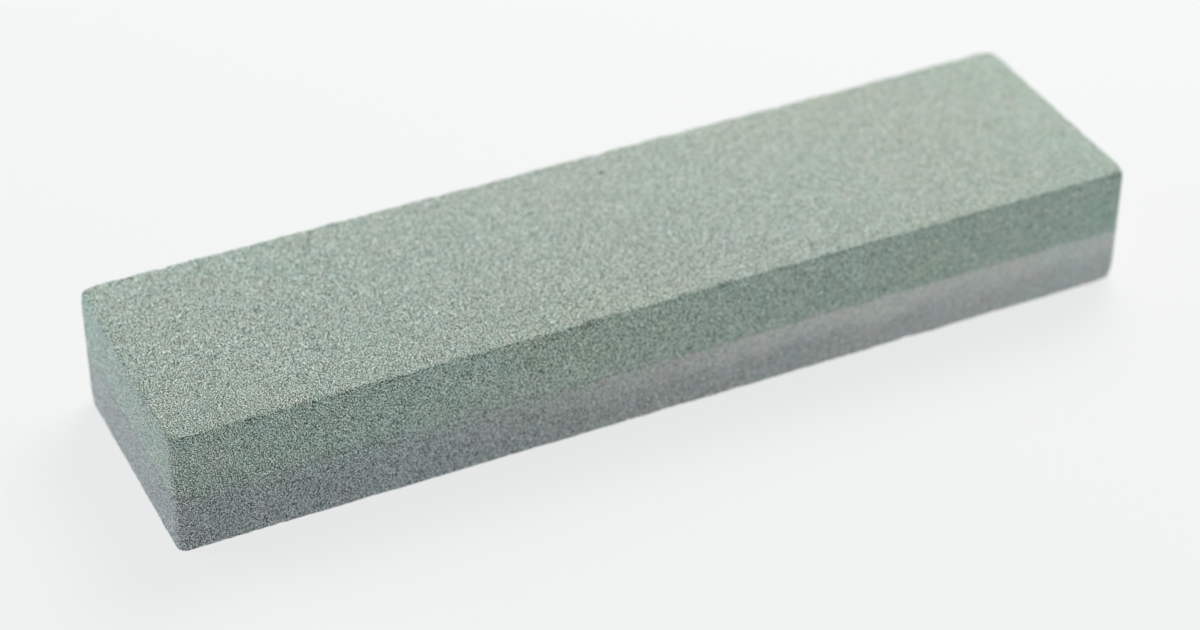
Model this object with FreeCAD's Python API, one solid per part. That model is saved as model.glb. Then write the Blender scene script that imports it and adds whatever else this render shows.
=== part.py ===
import FreeCAD, Part
import os

# Two-layer combination sharpening stone (bench whetstone), in millimetres.
#
# Frame: the stone rests on the plane Z = 0. The origin is the centre of the underside,
# +X runs along the length and +Z points up out of the coarse honing face.
#
# The real object is made of three pieces, each written as its own solid:
#   coarse_layer  the coarse green abrasive slab, on top
#   bond_line     the thin adhesive film that joins the slabs, set back from their sides
#   fine_layer    the fine grey abrasive slab, underneath

# ---- driving dimensions -----------------------------------------------------------------

STONE_LENGTH = 200.0
STONE_WIDTH = 51.0
STONE_HEIGHT = 26.0

COARSE_THICKNESS = 13.5   # green slab, a little more than half of the height
BOND_THICKNESS = 0.3      # adhesive film between the slabs
BOND_SETBACK = 0.1        # how far the film stops short of the stone's sides

CORNER_RADIUS = 1.6       # upright corners, rounded so that they don't chip
ARRIS_RADIUS = 0.6        # edges round both honing faces, eased for the same reason
JOINT_CHAMFER = 0.1       # each slab's edge at the glued joint

# ---- worked out from the driving dimensions ---------------------------------------------

FINE_THICKNESS = STONE_HEIGHT - COARSE_THICKNESS - BOND_THICKNESS
BOND_BOTTOM = FINE_THICKNESS
COARSE_BOTTOM = BOND_BOTTOM + BOND_THICKNESS
BOND_CORNER_RADIUS = CORNER_RADIUS - BOND_SETBACK

# Edges are picked by height, and two heights this close count as the same.
HEIGHT_TOLERANCE = 1e-4


def rounded_block(length, width, bottom, thickness, corner_radius):
    """A rectangular block centred on the Z axis, with its four upright corners rounded."""
    corner = FreeCAD.Vector(-length / 2, -width / 2, bottom)
    block = Part.makeBox(length, width, thickness, corner)
    uprights = []
    for edge in block.Edges:
        spread = edge.BoundBox.ZLength
        if abs(spread - thickness) < HEIGHT_TOLERANCE:
            uprights.append(edge)
    return block.makeFillet(corner_radius, uprights)


def edges_at_height(solid, height):
    """The edges of the solid that lie wholly in the horizontal plane at this height."""
    found = []
    for edge in solid.Edges:
        low = abs(edge.BoundBox.ZMin - height)
        high = abs(edge.BoundBox.ZMax - height)
        if max(low, high) < HEIGHT_TOLERANCE:
            found.append(edge)
    return found


def abrasive_slab(bottom, thickness, honing_height, joint_height):
    """One abrasive slab: eased arris round its honing face, small chamfer at the joint."""
    slab = rounded_block(STONE_LENGTH, STONE_WIDTH, bottom, thickness, CORNER_RADIUS)
    slab = slab.makeFillet(ARRIS_RADIUS, edges_at_height(slab, honing_height))
    return slab.makeChamfer(JOINT_CHAMFER, edges_at_height(slab, joint_height))


def coarse_layer():
    """The green slab, honing face up."""
    return abrasive_slab(COARSE_BOTTOM, COARSE_THICKNESS, STONE_HEIGHT, COARSE_BOTTOM)


def fine_layer():
    """The grey slab, honing face down: it is the face that the stone rests on."""
    return abrasive_slab(0.0, FINE_THICKNESS, 0.0, BOND_BOTTOM)


def bond_line():
    """The adhesive film, a thin sheet that follows the stone's outline just inside it."""
    length = STONE_LENGTH - 2 * BOND_SETBACK
    width = STONE_WIDTH - 2 * BOND_SETBACK
    return rounded_block(length, width, BOND_BOTTOM, BOND_THICKNESS, BOND_CORNER_RADIUS)


PIECES = {
    "coarse_layer": coarse_layer,
    "bond_line": bond_line,
    "fine_layer": fine_layer,
}

os.makedirs("parts", exist_ok=True)
for node, make_piece in PIECES.items():
    piece = make_piece()
    if not piece.isValid() or len(piece.Solids) != 1:
        raise RuntimeError(node + " is not one valid closed solid")
    piece.Solids[0].exportStep("parts/" + node + ".step")
    print(node, round(piece.Volume / 1000, 2), "cm3")
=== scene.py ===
import math
import random

import bpy
import numpy as np
from mathutils import Euler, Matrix, Quaternion, Vector, noise


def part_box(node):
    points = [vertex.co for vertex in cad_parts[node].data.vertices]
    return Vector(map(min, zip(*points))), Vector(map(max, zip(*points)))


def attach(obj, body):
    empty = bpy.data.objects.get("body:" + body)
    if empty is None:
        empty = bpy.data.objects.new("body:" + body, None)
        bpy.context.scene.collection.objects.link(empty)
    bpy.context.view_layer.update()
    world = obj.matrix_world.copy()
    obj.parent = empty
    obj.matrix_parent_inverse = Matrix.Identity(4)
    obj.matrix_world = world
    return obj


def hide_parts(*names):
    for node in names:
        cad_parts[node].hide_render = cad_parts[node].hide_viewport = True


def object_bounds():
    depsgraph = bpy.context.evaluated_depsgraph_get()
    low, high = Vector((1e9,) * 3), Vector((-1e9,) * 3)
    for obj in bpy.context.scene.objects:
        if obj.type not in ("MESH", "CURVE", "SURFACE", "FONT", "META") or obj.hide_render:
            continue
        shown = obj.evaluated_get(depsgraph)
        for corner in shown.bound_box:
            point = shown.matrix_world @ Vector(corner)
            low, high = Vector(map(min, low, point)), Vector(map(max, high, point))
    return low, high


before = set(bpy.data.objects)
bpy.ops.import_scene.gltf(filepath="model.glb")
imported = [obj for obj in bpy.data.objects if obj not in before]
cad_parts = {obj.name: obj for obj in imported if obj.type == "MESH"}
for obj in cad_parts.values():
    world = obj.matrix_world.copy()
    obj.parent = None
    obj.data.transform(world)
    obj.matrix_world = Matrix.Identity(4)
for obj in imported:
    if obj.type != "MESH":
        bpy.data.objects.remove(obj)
cad_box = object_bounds()

# A two-layer bench whetstone on a pale floor. Left is the -X end, and front the -Y side.
# Lengths are in metres where a comment doesn't say mm.
MM = 0.001

# ---- places and sizes, read from the frame ------------------------------------------------

STONE_LOW, STONE_HIGH = (np.array(corner) for corner in cad_box)
STONE_CENTRE = (STONE_LOW + STONE_HIGH) / 2
LEFT_END, RIGHT_END = STONE_LOW[0], STONE_HIGH[0]
BACK_SIDE = STONE_HIGH[1]
FINE_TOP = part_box("fine_layer")[1].z
COARSE_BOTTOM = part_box("coarse_layer")[0].z
JOINT_MIDDLE = float((FINE_TOP + COARSE_BOTTOM) / 2)

# ---- mesh spacing -------------------------------------------------------------------------

GRID_STEP = 0.46 * MM        # spacing of the surface mesh on the flats
EDGE_STEP = 0.12 * MM        # first spacing beside an edge
EDGE_GROWTH = 1.3            # how fast the spacing grows away from the edge
EDGE_ROWS = 6
NORMAL_PROBE = 0.01 * MM     # step of the gradient of the distance
SETTLE_ROUNDS = 2            # how often points are moved onto the rounded surface

# ---- the worn shape -----------------------------------------------------------------------

CORNER_RADIUS = 1.6 * MM     # upright corners
ARRIS_RADIUS = 0.55 * MM     # round both honing faces
JOINT_RADIUS = 0.05 * MM     # at the joint
WEAR_LIMITS = (0.3, 2.0)     # least and most arris radius, as a share of the one above

# layers of noise: (amount, size of the features, shift of the pattern); the amounts are
# shares of the arris radius for wear, and mm for relief
ARRIS_WEAR = ((0.30, 9 * MM, 3.1), (0.25, 1.4 * MM, 8.7))
GRIT_ARRIS_WEAR = ((0.75, 3.6 * MM, 4.4),)
FACE_RELIEF = ((0.030, 26 * MM, 1.3),)
GRIT_RELIEF = ((0.010, 2.1 * MM, 5.9), (0.017, 0.75 * MM, 2.2))
RELIEF_SINK = 0.03           # mm, how far under the CAD's surface this one lies on average
EDGE_RELIEF = 1.4            # how much rougher the arrises are
FLAT_TO_EDGE = 0.29          # 1 less the largest part of a normal that leans 45 degrees
PIT_SIZE, PIT_SHIFT = 1.15 * MM, 12.4
PIT_LEVEL = 0.5              # noise above this makes a pit
PIT_DEPTH = 0.12             # mm
JOINT_FADE = 0.6 * MM        # the relief dies away this close to the joint

KNOCK_REACH = 4.0 * MM       # how far a knocked corner of a honing face is worn
# depth in mm at the left front, left back, right front and right back corner
COARSE_KNOCKS = (0.30, 0.55, 0.15, 0.50)
FINE_KNOCKS = (0.10, 0.50, 0.80, 0.70)

CHIPS_ON_LONG_EDGES = 0.8    # share of the chips
CHIP_RADIUS = (0.5, 1.6)     # mm, least and most
CHIP_DEPTH = (0.12, 0.25)    # least and most, as a share of the radius
COARSE_CHIPS, FINE_CHIPS = 26, 16
COARSE_GRIT, FINE_GRIT = 1.0, 0.6

FILM_SINK = 0.03 * MM        # the film behind the walls
FILM_WAVER = (0.7, 0.9 * MM, 6.6)

LATTICE_TURN = Euler((0.61, 0.37, 0.83))
SEED = 41


def link_object(name, data):
    made = bpy.data.objects.new(name, data)
    bpy.context.scene.collection.objects.link(made)
    return made


def noise_at(points, size, shift):
    """Smooth noise from -1 to 1 at each point, with features of about this size.

    The noise's own lattice is turned, so that no wall of the stone lies along it.
    """
    scaled = points @ np.array(LATTICE_TURN.to_matrix()) / size + shift
    return np.array([noise.noise(Vector(p)) for p in scaled])


def with_noise(values, points, layers, strength=1.0):
    """The values plus each layer of noise, made stronger or weaker as a whole."""
    for amount, size, shift in layers:
        values = values + strength * amount * noise_at(points, size, shift)
    return values


def rulings(span):
    """Places along one side of a box: even in the middle, closer together at both ends."""
    close = np.cumsum(EDGE_STEP * EDGE_GROWTH ** np.arange(EDGE_ROWS))
    count = round((span - 2 * close[-1]) / GRID_STEP)
    even = np.linspace(close[-1], span - close[-1], count + 1)
    return np.concatenate([[0], close[:-1], even, span - close[-2::-1], [span]])


def box_surface(low, high, honing_up):
    """Points and quads over a box, closed by one hidden face on the joint side.

    The honing face and the four walls are grids that share their edges.
    """
    xs, ys, zs = (rulings(span) for span in high - low)
    nx, ny, nz = len(xs) - 1, len(ys) - 1, len(zs) - 1
    i, j, k = np.meshgrid(np.arange(nx + 1), np.arange(ny + 1), np.arange(nz + 1), indexing="ij")
    wall = (i == 0) | (i == nx) | (j == 0) | (j == ny)
    shown = wall | (k == nz)
    number = np.full(shown.shape, -1)
    number[shown] = np.arange(shown.sum())
    heights = zs[k] if honing_up else zs[-1] - zs[k]
    points = np.stack([xs[i], ys[j], heights], axis=-1)[shown] + low

    def quads(sheet, flip):
        ring = [sheet[:-1, :-1], sheet[1:, :-1], sheet[1:, 1:], sheet[:-1, 1:]]
        if flip == honing_up:
            ring.reverse()
        return np.stack(ring, axis=-1).reshape(-1, 4)

    faces = np.concatenate([
        quads(number[:, :, nz], False),
        quads(number[:, 0, :], False),
        quads(number[:, ny, :], True),
        quads(number[0, :, :], True),
        quads(number[nx, :, :], False),
    ]).tolist()
    rim = np.concatenate([
        number[:, 0, 0], number[nx, 1:, 0], number[-2::-1, ny, 0], number[0, -2:0:-1, 0],
    ])
    faces.append(rim[::-1].tolist() if honing_up else rim.tolist())
    return points, faces


def slab_distance(points, low, high, arris):
    """Signed distance to a slab with rounded upright corners and eased arrises."""
    half = (high - low) / 2
    offset = np.abs(points - (low + high) / 2)
    plan = offset[:, :2] - (half[:2] - CORNER_RADIUS)
    outside = np.linalg.norm(np.maximum(plan, 0), axis=1)
    across = outside + np.minimum(plan.max(axis=1), 0) - CORNER_RADIUS + arris
    along = offset[:, 2] - half[2] + arris
    reach = np.hypot(np.maximum(across, 0), np.maximum(along, 0))
    return reach + np.minimum(np.maximum(across, along), 0) - arris


def slab_normals(points, low, high, arris):
    """Outward directions, from the gradient of the distance."""
    gradient = np.empty_like(points)
    for axis in range(3):
        step = np.zeros(3)
        step[axis] = NORMAL_PROBE
        ahead = slab_distance(points + step, low, high, arris)
        behind = slab_distance(points - step, low, high, arris)
        gradient[:, axis] = ahead - behind
    return gradient / np.maximum(np.linalg.norm(gradient, axis=1, keepdims=True), 1e-12)


def onto_slab(points, low, high, arris):
    """The points moved onto the slab's surface, and the normals there."""
    for _ in range(SETTLE_ROUNDS):
        normals = slab_normals(points, low, high, arris)
        points = points - normals * slab_distance(points, low, high, arris)[:, None]
    return points, slab_normals(points, low, high, arris)


def worn_arris(points, low, high, honing_up, grit):
    """The edge radius at each point: uneven on the honing side, tight at the joint."""
    wear = with_noise(1.0, points, ARRIS_WEAR)
    wear = with_noise(wear, points, GRIT_ARRIS_WEAR, grit)
    middle = (low[2] + high[2]) / 2
    honing_side = (points[:, 2] > middle) == honing_up
    return np.where(honing_side, ARRIS_RADIUS * np.clip(wear, *WEAR_LIMITS), JOINT_RADIUS)


def face_relief(points, edge, grit):
    """The surface's height in mm: gentle waves, the grit's own roughness and shallow pits."""
    relief = with_noise(0.0, points, FACE_RELIEF)
    relief = with_noise(relief, points, GRIT_RELIEF, grit) - RELIEF_SINK
    relief = relief * (1 + EDGE_RELIEF * edge)
    pits = np.clip(noise_at(points, PIT_SIZE, PIT_SHIFT) - PIT_LEVEL, 0, 1)
    return relief - grit * PIT_DEPTH * pits / (1 - PIT_LEVEL)


def knocked(relief, points, corners, knocks):
    """The relief with the four corners of the honing face knocked round."""
    for corner, knock in zip(corners, knocks):
        near = np.linalg.norm(points - corner, axis=1) / KNOCK_REACH
        relief = relief - knock * np.clip(1 - near, 0, 1) ** 2
    return relief


def chipped(relief, points, chips):
    """The relief with a shallow round bite at each chip."""
    for centre, radius, depth in chips:
        near = np.linalg.norm(points - centre, axis=1) / radius
        relief = relief - depth / MM * np.clip(1 - near * near, 0, 1)
    return relief


def keep_values(mesh, name, values):
    """Stores one number for each point, for the material to read."""
    attribute = mesh.attributes.new(name, "FLOAT", "POINT")
    attribute.data.foreach_set("value", values.astype(np.float32))


def stone_slab(name, low, high, honing_up, grit, knocks, chips):
    """One abrasive slab: rounded, worn unevenly along its arrises, with the grit's relief."""
    points, faces = box_surface(low, high, honing_up)
    arris = worn_arris(points, low, high, honing_up, grit)
    points, normals = onto_slab(points, low, high, arris)

    # 1 on the arrises and corners, 0 on the flats
    edge = np.clip((1 - np.max(np.abs(normals), axis=1)) / FLAT_TO_EDGE, 0, 1)
    honing, joint = (high[2], low[2]) if honing_up else (low[2], high[2])
    corners = [(x, y, honing) for x in (low[0], high[0]) for y in (low[1], high[1])]
    relief = face_relief(points, edge, grit)
    relief = chipped(knocked(relief, points, corners, knocks), points, chips)
    # wear only takes material away, so the slab stays inside its box
    relief = np.minimum(relief, 0)
    fade = np.clip(np.abs(points[:, 2] - joint) / JOINT_FADE, 0, 1)
    points = points + normals * (relief * fade * MM)[:, None]

    mesh = bpy.data.meshes.new(name)
    mesh.from_pydata(points.tolist(), [], faces)
    mesh.shade_smooth()
    mesh.polygons[len(faces) - 1].use_smooth = False
    keep_values(mesh, "relief", relief)
    # the arris mask; the material paints the arrises paler with it, partly wear and partly a
    # painted highlight
    keep_values(mesh, "worn", edge)
    mesh.validate()
    return link_object(name, mesh)


def wall_ring(low, high):
    """Points round the four walls at half height, and their outward directions."""
    def side(x, y):
        return np.column_stack(np.broadcast_arrays(x, y))

    xs, ys = (rulings(span) for span in (high - low)[:2])
    plan = np.concatenate([
        side(xs[:-1], 0), side(xs[-1], ys[:-1]), side(xs[:0:-1], ys[-1]), side(0, ys[:0:-1]),
    ])
    middle = (low[2] + high[2]) / 2
    ring = np.column_stack([plan + low[:2], np.full(len(plan), middle)])
    # the box is taken as very tall here, so that only its walls count
    return onto_slab(ring, low - (0, 0, 1), high + (0, 0, 1), JOINT_RADIUS)


def bond_film(name, low, high):
    """The joint between the slabs: a thin plate that ends just behind their walls."""
    ring, normals = wall_ring(low, high)
    amount, size, shift = FILM_WAVER
    sunk = FILM_SINK * (1 + amount * noise_at(ring, size, shift))
    ring = ring - normals * sunk[:, None]
    bottom, top = ring.copy(), ring.copy()
    bottom[:, 2], top[:, 2] = low[2], high[2]

    count = len(ring)
    faces = [(n, (n + 1) % count, count + (n + 1) % count, count + n) for n in range(count)]
    faces.append(list(range(count))[::-1])
    faces.append(list(range(count, 2 * count)))
    mesh = bpy.data.meshes.new(name)
    mesh.from_pydata(np.concatenate([bottom, top]).tolist(), [], faces)
    mesh.validate()
    return link_object(name, mesh)


def edge_chips(low, high, honing_up, count, draw):
    """Small bites out of the arris round the honing face: (centre, radius, depth) each."""
    height = high[2] if honing_up else low[2]
    chips = []
    for _ in range(count):
        along_length = draw.random() < CHIPS_ON_LONG_EDGES
        side = draw.choice((0, 1))
        if along_length:
            place = [draw.uniform(low[0], high[0]), (low[1], high[1])[side], height]
        else:
            place = [(low[0], high[0])[side], draw.uniform(low[1], high[1]), height]
        radius = draw.uniform(*CHIP_RADIUS) * MM
        chips.append((np.array(place), radius, radius * draw.uniform(*CHIP_DEPTH)))
    return chips


# ---- material nodes -----------------------------------------------------------------------


class Recipe:
    """Builds one material's nodes. Each call returns an output of its last new node."""

    def __init__(self, name):
        self.material = bpy.data.materials.new(name)
        self.material.use_nodes = True
        self.tree = self.material.node_tree
        self.surface = self.tree.nodes["Principled BSDF"]

    def node(self, kind, output, inputs, **settings):
        made = self.tree.nodes.new(kind)
        for key, value in settings.items():
            setattr(made, key, value)
        for key, value in inputs.items():
            if isinstance(value, bpy.types.NodeSocket):
                self.tree.links.new(value, made.inputs[key])
            else:
                made.inputs[key].default_value = value
        return made.outputs[output]

    def math(self, operation, *values, clamp=False):
        inputs = dict(enumerate(values))
        return self.node("ShaderNodeMath", 0, inputs, operation=operation, use_clamp=clamp)

    def centred(self, value):
        """A value from 0 to 1 moved to lie about 0."""
        return self.math("SUBTRACT", value, 0.5)

    def noise(self, coords, size, detail, roughness=0.5, output="Fac"):
        inputs = {"Vector": coords, "Scale": 1 / size, "Detail": detail, "Roughness": roughness}
        return self.node("ShaderNodeTexNoise", output, inputs)

    def stored(self, name):
        """Numbers kept on the mesh's points."""
        return self.node("ShaderNodeAttribute", "Fac", {}, attribute_name=name)

    def run(self, value, low, high, at_low=0.0, at_high=1.0):
        """A straight run between two values, and flat beyond them."""
        inputs = {
            "Value": value,
            "From Min": low,
            "From Max": high,
            "To Min": at_low,
            "To Max": at_high,
        }
        return self.node("ShaderNodeMapRange", 0, inputs)

    def smooth(self, value, low, high):
        """0 below low, 1 above high, smooth between."""
        inputs = {"Value": value, "From Min": low, "From Max": high}
        return self.node("ShaderNodeMapRange", 0, inputs, interpolation_type="SMOOTHSTEP")

    def ramp(self, value, stops):
        made = self.tree.nodes.new("ShaderNodeValToRGB")
        self.tree.links.new(value, made.inputs["Fac"])
        elements = made.color_ramp.elements
        while len(elements) < len(stops):
            elements.new(0.5)
        for element, (place, colour) in zip(elements, stops):
            element.position = place
            element.color = (*colour, 1)
        return made.outputs["Color"]

    def mix(self, share, first, second, blend="MIX"):
        made = self.tree.nodes.new("ShaderNodeMix")
        made.data_type = "RGBA"
        made.blend_type = blend
        for place, value in ((0, share), (6, first), (7, second)):
            if isinstance(value, bpy.types.NodeSocket):
                self.tree.links.new(value, made.inputs[place])
            else:
                made.inputs[place].default_value = value if place == 0 else (*value, 1)
        return made.outputs[2]

    def times(self, colour, factor):
        return self.mix(1.0, colour, factor, "MULTIPLY")

    def tint(self, colour, value, stops):
        return self.times(colour, self.ramp(value, stops))


def grey(value):
    return (value, value, value)


# ---- the abrasive -------------------------------------------------------------------------

GRAIN = 0.26 * MM            # spacing of the cut grains
FINE_GRAIN = 0.185 * MM      # spacing of the finer pattern between them
WARP_SIZE, WARP_REACH = 2.0 * MM, 0.9 * MM
FINE_CONTRAST = 4.4
LOT_CONTRAST = 0.10
# the grain's contrast towards each end: (place, contrast)
GRIP_LEFT, GRIP_RIGHT = (-80 * MM, 1.0), (90 * MM, 0.62)

GREEN_GRAINS = (
    (0.00, (0.020, 0.034, 0.026)),
    (0.30, (0.140, 0.175, 0.150)),
    (0.50, (0.335, 0.390, 0.338)),
    (0.70, (0.560, 0.620, 0.545)),
    (1.00, (0.900, 0.920, 0.860)),
)
GREY_GRAINS = (
    (0.00, (0.022, 0.025, 0.026)),
    (0.30, (0.140, 0.152, 0.150)),
    (0.50, (0.285, 0.306, 0.302)),
    (0.70, (0.430, 0.455, 0.447)),
    (1.00, (0.700, 0.725, 0.705)),
)
GREY_CAST = (1.135, 1.05, 1.10)

JOINT_WAVES = 7 * MM         # length of the joint line's waves
JOINT_WAVER = 3.2 * MM       # how far they go up and down
JUMBLE = 1.6                 # how far single grains stray, in heights of the mingling
# height over which the two powders mingle, towards each end: (place, height)
MINGLE_LEFT, MINGLE_RIGHT = (-90 * MM, 2.8 * MM), (20 * MM, 0.5 * MM)

BAND_WAVER = 5 * MM
BAND_LOW, BAND_HIGH = -8.0 * MM, -2.5 * MM   # the pale band fades in between these levels
# share of pale fines along the stone: (place where it starts, place where it ends, most)
DEEP_PALE = (-60 * MM, 130 * MM, 0.50)       # below the band
BAND_PALE = (-75 * MM, 55 * MM, 0.82)        # in the band
END_FACE_PAINTED_LIGHT = 0.11                             # painted light: the left end face of the grey layer made paler, where light from the left and off the floor falls
END_FACE_LIGHT_DEPTHS = (0.1 * MM, 1.0 * MM)           # it fades out between these depths
# the pale colour of the fines; the same colour also paints light on the left end face
PALE_GAIN = (1.85, 1.75, 1.64)
PALE_TINT = (0.585, 0.555, 0.54)
PALE_TINT_SHARE = 0.6

BLOTCH_SIZE, MOTTLE_SIZE, CLUMP_SIZE, SPECK_SIZE = 60 * MM, 4 * MM, 1.5 * MM, 0.8 * MM
BLOTCH_TINTS = ((0.32, (0.98, 1.01, 1.02)), (0.5, (1.01, 0.99, 1.0)), (0.68, (1.02, 1.0, 0.98)))
MOTTLE_TINTS = (
    (0.38, (1.03, 0.985, 1.0)),
    (0.50, (0.985, 1.01, 0.975)),
    (0.62, (0.985, 1.0, 1.03)),
)
# painted light: the stone paler and warmer towards the right end, as light falls from the right
LENGTH_PAINTED_LIGHT = (
    (0.1, (1.0, 1.0, 1.0)),
    (0.5, (1.055, 1.02, 1.035)),
    (0.9, (1.105, 1.055, 1.07)),
)
CLUMP_TINTS = ((0.3, grey(0.985)), (0.7, grey(1.015)))
SPECK_TINTS = ((0.20, grey(0.62)), (0.28, grey(1.0)))
HOLLOW_TINTS = ((0.0, grey(0.86)), (1.0, grey(1.01)))
HOLLOW_RELIEF = -0.20        # mm, where a hollow is darkest
# painted light: how much paler the back is than the middle, at the left and the right end
BACKWARD_PAINTED_LIGHT = (0.06, 0.005)
# paler arrises: partly wear, partly a painted highlight
ARRIS_WEAR_AND_HIGHLIGHT_GAIN, ARRIS_WEAR_AND_HIGHLIGHT_SHARE = (1.34, 1.26, 1.29), 0.55

GLINT_LOT = 0.965            # the grains above this share glint
DULL, GLINT_DROP = 0.84, -0.45   # roughness, and how much a glinting grain takes off it
SPECULAR = 0.35
BUMP_STRENGTH, BUMP_HEIGHT = 0.5, GRAIN * 0.5


def turned(r, square):
    """Coordinates that no wall of the stone lies along."""
    inputs = {"Vector": square, "Rotation": tuple(LATTICE_TURN)}
    return r.node("ShaderNodeVectorRotate", 0, inputs, rotation_type="EULER_XYZ")


def grain_lots(r, coords):
    """A number from 0 to 1 for each cut grain."""
    cells = r.node("ShaderNodeTexVoronoi", "Color", {"Vector": coords, "Scale": 1 / GRAIN})
    return r.node("ShaderNodeSeparateColor", 0, {"Color": cells})


def fine_pattern(r, coords):
    """Fine noise, warped slowly so that its lattice can't line up with the camera's pixels."""
    warp = r.noise(coords, WARP_SIZE, detail=0, output="Color")
    inputs = {0: warp, 1: (WARP_REACH, WARP_REACH, WARP_REACH), 2: coords}
    warped = r.node("ShaderNodeVectorMath", 0, inputs, operation="MULTIPLY_ADD")
    return r.noise(warped, FINE_GRAIN, detail=0)


def grain_pattern(r, lot, fine, x):
    """Dark to pale grains, more open and so in stronger contrast towards the left end."""
    grain = r.math("MULTIPLY_ADD", r.centred(fine), FINE_CONTRAST, 0.5)
    grain = r.math("MULTIPLY_ADD", r.centred(lot), LOT_CONTRAST, grain, clamp=True)
    (left, at_left), (right, at_right) = GRIP_LEFT, GRIP_RIGHT
    grip = r.run(x, left, right, at_left, at_right)
    return r.math("MULTIPLY_ADD", r.centred(grain), grip, 0.5)


def green_share(r, lot, fine, level, x):
    """1 above the joint, 0 below it, grain by grain where the two powders mingle."""
    jumble = r.math("ADD", r.centred(lot), r.centred(fine))
    (left, at_left), (right, at_right) = MINGLE_LEFT, MINGLE_RIGHT
    spread = r.run(x, left, right, at_left, at_right)
    mingled = r.math("MULTIPLY_ADD", jumble, JUMBLE, r.math("DIVIDE", level, spread))
    return r.smooth(mingled, -1.0, 1.0)


def pale_share(r, waver, level, x):
    """Pale fines in the grey powder: a band under the joint, stronger towards the right, and
    painted light on the left end face.
    """
    band = r.smooth(r.math("MULTIPLY_ADD", waver, BAND_WAVER, level), BAND_LOW, BAND_HIGH)
    deep, near = (
        r.math("MULTIPLY", r.smooth(x, start, end), most)
        for start, end, most in (DEEP_PALE, BAND_PALE)
    )
    share = r.math("MULTIPLY_ADD", band, r.math("SUBTRACT", near, deep), deep)
    # painted light: the grey layer's left end face made paler
    inner = r.smooth(x, *(LEFT_END + depth for depth in END_FACE_LIGHT_DEPTHS))
    end_face_light = r.math("MULTIPLY_ADD", inner, -END_FACE_PAINTED_LIGHT, END_FACE_PAINTED_LIGHT)
    return r.math("MAXIMUM", share, end_face_light)


def grey_powder(r, grain, share):
    """Grey grains, with this share of pale fines among them; on the left end face the share is
    painted light.
    """
    plain = r.times(r.ramp(grain, GREY_GRAINS), GREY_CAST)
    pale = r.mix(PALE_TINT_SHARE, r.times(plain, PALE_GAIN), PALE_TINT)
    return r.mix(share, plain, pale)


def firing_tints_and_painted_light(r, colour, coords, x, y):
    """Slow tints over the whole stone, with painted light: paler and warmer towards the right
    end, and paler towards the back, most so at the left.
    """
    blotch = r.noise(coords, BLOTCH_SIZE, detail=4, roughness=0.55)
    colour = r.tint(colour, blotch, BLOTCH_TINTS)
    mottle = r.noise(coords, MOTTLE_SIZE, detail=3, roughness=0.6)
    colour = r.tint(colour, mottle, MOTTLE_TINTS)
    # painted light: paler and warmer towards the right end
    colour = r.tint(colour, r.run(x, LEFT_END, RIGHT_END), LENGTH_PAINTED_LIGHT)
    # painted light: paler towards the back, most so at the left end
    slope = r.run(x, LEFT_END, RIGHT_END, *BACKWARD_PAINTED_LIGHT)
    backward = r.math("DIVIDE", y, BACK_SIDE)
    return r.times(colour, r.math("MULTIPLY_ADD", backward, slope, 1.0))


def clumps_and_specks(r, colour, coords):
    clump = r.noise(coords, CLUMP_SIZE, detail=2, roughness=0.6)
    colour = r.tint(colour, clump, CLUMP_TINTS)
    speck = r.noise(coords, SPECK_SIZE, detail=1)
    return r.tint(colour, speck, SPECK_TINTS)


def hollow_and_highlight_tints(r, colour):
    """Darker in the hollows; paler on the arrises, partly from wear and partly a painted
    highlight.
    """
    lift = r.smooth(r.stored("relief"), HOLLOW_RELIEF, 0.0)
    colour = r.tint(colour, lift, HOLLOW_TINTS)
    # paler arrises: partly wear, partly a painted highlight
    share = r.math("MULTIPLY", r.stored("worn"), ARRIS_WEAR_AND_HIGHLIGHT_SHARE)
    return r.mix(share, colour, r.times(colour, ARRIS_WEAR_AND_HIGHLIGHT_GAIN))


def finish(r, lot, grain):
    """Dull, with a few grains that glint, and a bump from the grain."""
    glint = r.math("GREATER_THAN", lot, GLINT_LOT)
    rough = r.math("MULTIPLY_ADD", glint, GLINT_DROP, DULL)
    r.tree.links.new(rough, r.surface.inputs["Roughness"])
    r.surface.inputs["Specular IOR Level"].default_value = SPECULAR
    inputs = {"Height": grain, "Strength": BUMP_STRENGTH, "Distance": BUMP_HEIGHT}
    r.tree.links.new(r.node("ShaderNodeBump", 0, inputs), r.surface.inputs["Normal"])


def abrasive(name, brightness=1.0):
    """Fired abrasive, the same powder pattern through the whole stone.

    Green grains lie above the joint and grey ones below it.
    """
    r = Recipe(name)
    square = r.node("ShaderNodeTexCoord", "Object", {})
    x = r.node("ShaderNodeSeparateXYZ", "X", {"Vector": square})
    y, z = (x.node.outputs[axis] for axis in "YZ")
    coords = turned(r, square)
    lot = grain_lots(r, coords)
    fine = fine_pattern(r, coords)
    grain = grain_pattern(r, lot, fine, x)

    waver = r.centred(r.noise(coords, JOINT_WAVES, detail=3, roughness=0.6))
    level = r.math("SUBTRACT", z, JOINT_MIDDLE)
    level = r.math("MULTIPLY_ADD", waver, JOINT_WAVER, level)
    powder = grey_powder(r, grain, pale_share(r, waver, level, x))
    green = green_share(r, lot, fine, level, x)
    colour = r.mix(green, powder, r.ramp(grain, GREEN_GRAINS))

    colour = firing_tints_and_painted_light(r, colour, coords, x, y)
    colour = clumps_and_specks(r, colour, coords)
    colour = hollow_and_highlight_tints(r, r.times(colour, grey(brightness)))
    r.tree.links.new(colour, r.surface.inputs["Base Color"])
    finish(r, lot, grain)
    return r.material


# ---- the three pieces ---------------------------------------------------------------------

FILM_BRIGHTNESS = 0.80       # the film in its slit is darker than the slabs


def fit_out(piece, node, material):
    piece.data.materials.append(material)
    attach(piece, "root")
    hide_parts(node)


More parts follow.
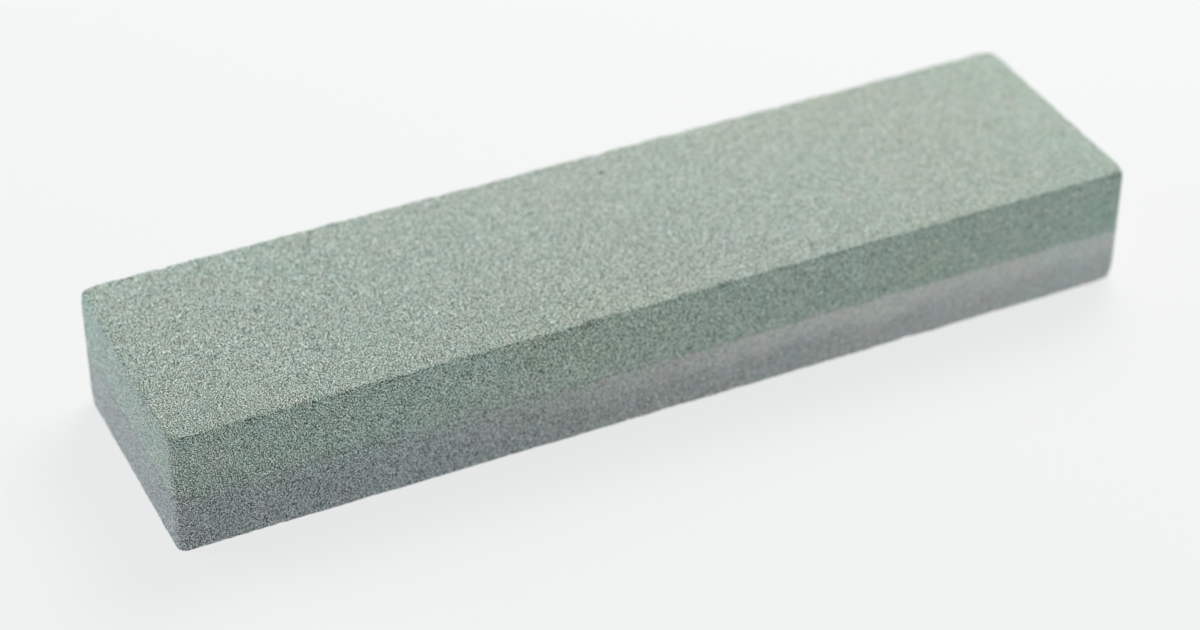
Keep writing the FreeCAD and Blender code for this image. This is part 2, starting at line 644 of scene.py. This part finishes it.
def make_coarse_slab(draw):
    low, high = (np.array(corner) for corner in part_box("coarse_layer"))
    chips = edge_chips(low, high, True, COARSE_CHIPS, draw)
    slab = stone_slab("coarse_slab", low, high, True, COARSE_GRIT, COARSE_KNOCKS, chips)
    fit_out(slab, "coarse_layer", abrasive("coarse_green_abrasive"))


def make_fine_slab(draw):
    low, high = (np.array(corner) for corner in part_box("fine_layer"))
    chips = edge_chips(low, high, False, FINE_CHIPS, draw)
    slab = stone_slab("fine_slab", low, high, False, FINE_GRIT, FINE_KNOCKS, chips)
    fit_out(slab, "fine_layer", abrasive("fine_grey_abrasive"))


def make_bond_film():
    low, high = STONE_LOW.copy(), STONE_HIGH.copy()
    low[2], high[2] = FINE_TOP, COARSE_BOTTOM
    film = bond_film("bond_film", low, high)
    fit_out(film, "bond_line", abrasive("bond_film", FILM_BRIGHTNESS))


# ---- floor and light ----------------------------------------------------------------------

FLOOR_REACH = 3.0
FLOOR_GREY = 0.15
FLOOR_GLOW = 0.76            # keeps the floor pale and the stone's shadow faint
STUDIO_FILL = (0.15, 0.25, 0.25)
PALE = 0.80                  # what the camera sees of the studio beyond the floor
# name, place, size, power in watts, colour
LAMPS = (
    ("key", (0.30, 0.28, 0.45), (0.4, 0.4), 1.95, (0.98, 1.0, 0.965)),
    ("high_key", (0.55, 0.55, 1.0), (0.8, 0.8), 8.0, (1.0, 0.88, 0.825)),
    ("left_glow", (-0.70, 0.55, 0.18), (0.6, 0.34), 4.12, (0.74, 0.935, 0.975)),
    ("front_fill", (0.5, -0.7, 0.35), (0.6, 0.5), 1.12, (0.43, 1.0, 0.78)),
)


def make_floor():
    mesh = bpy.data.meshes.new("floor")
    far = FLOOR_REACH
    corners = [(-far, -far, 0), (far, -far, 0), (far, far, 0), (-far, far, 0)]
    mesh.from_pydata(corners, [], [(0, 1, 2, 3)])
    floor = link_object("floor", mesh)
    r = Recipe("pale_floor")
    r.surface.inputs["Base Color"].default_value = (*grey(FLOOR_GREY), 1)
    r.surface.inputs["Roughness"].default_value = 1.0
    r.surface.inputs["Specular IOR Level"].default_value = 0.0
    r.surface.inputs["Emission Color"].default_value = (1, 1, 1, 1)
    r.surface.inputs["Emission Strength"].default_value = FLOOR_GLOW
    mesh.materials.append(r.material)


def soft_box(name, place, size, power, colour):
    """A soft lamp that faces the stone and isn't seen itself."""
    lamp = bpy.data.lights.new(name, "AREA")
    lamp.shape = "RECTANGLE"
    lamp.size, lamp.size_y = size
    lamp.energy = power
    lamp.color = colour
    holder = link_object(name, lamp)
    holder.location = place
    aim = Vector(STONE_CENTRE) - holder.location
    holder.rotation_mode = "QUATERNION"
    holder.rotation_quaternion = aim.to_track_quat("-Z", "Y")
    holder.visible_camera = False


def make_world():
    world = bpy.data.worlds.new("studio")
    world.use_nodes = True
    tree = world.node_tree
    sky = tree.nodes["Background"]
    sky.inputs["Color"].default_value = (*STUDIO_FILL, 1)
    # what the camera sees of it is as pale as the far floor
    seen = tree.nodes.new("ShaderNodeBackground")
    seen.inputs["Color"].default_value = (*grey(PALE), 1)
    path = tree.nodes.new("ShaderNodeLightPath")
    choice = tree.nodes.new("ShaderNodeMixShader")
    tree.links.new(path.outputs["Is Camera Ray"], choice.inputs[0])
    tree.links.new(sky.outputs[0], choice.inputs[1])
    tree.links.new(seen.outputs[0], choice.inputs[2])
    tree.links.new(choice.outputs[0], tree.nodes["World Output"].inputs["Surface"])
    bpy.context.scene.world = world


# ---- camera -------------------------------------------------------------------------------

CAMERA_AZIMUTH = math.radians(-25.945)
CAMERA_ELEVATION = math.radians(36.251)
CAMERA_ROLL = math.radians(0.274)
CAMERA_DISTANCE = 609.7 * MM
AIM_OFFSET = Vector((-4.47, -1.96, -5.07)) * MM   # from the stone's centre
LENS, SENSOR_WIDTH = 93.69, 36   # mm
CLIP = (0.01, 50)
APERTURE = 8.0 * MM          # the opening's diameter


def make_camera():
    data = bpy.data.cameras.new("camera")
    data.lens = LENS
    data.sensor_width = SENSOR_WIDTH
    data.clip_start, data.clip_end = CLIP
    camera = link_object("camera", data)
    flat = math.cos(CAMERA_ELEVATION)
    back = Vector((
        math.sin(CAMERA_AZIMUTH) * flat,
        -math.cos(CAMERA_AZIMUTH) * flat,
        math.sin(CAMERA_ELEVATION),
    ))
    camera.location = Vector(STONE_CENTRE) + AIM_OFFSET + back * CAMERA_DISTANCE
    camera.rotation_mode = "QUATERNION"
    level = (-back).to_track_quat("-Z", "Y")
    camera.rotation_quaternion = level @ Quaternion((0, 0, 1), CAMERA_ROLL)
    bpy.context.scene.camera = camera
    return camera


def set_focus(camera):
    """Keeps the focus on the point of the stone's box that is nearest to the camera."""
    focus = link_object("focus", None)
    focus.constraints.new("COPY_LOCATION").target = camera
    nearest = focus.constraints.new("LIMIT_LOCATION")
    for axis, low, high in zip("xyz", STONE_LOW, STONE_HIGH):
        for side, value in (("min", low), ("max", high)):
            setattr(nearest, f"use_{side}_{axis}", True)
            setattr(nearest, f"{side}_{axis}", value)
    camera.data.dof.use_dof = True
    camera.data.dof.focus_object = focus
    camera.data.dof.aperture_fstop = LENS * MM / APERTURE


# ---- the scene ----------------------------------------------------------------------------

draw = random.Random(SEED)
make_coarse_slab(draw)
make_fine_slab(draw)
make_bond_film()

make_floor()
make_world()
for lamp in LAMPS:
    soft_box(*lamp)
set_focus(make_camera())

scene = bpy.context.scene
scene.view_settings.view_transform = "Standard"
scene.cycles.use_denoising = True
scene.cycles.filter_width = 1.0
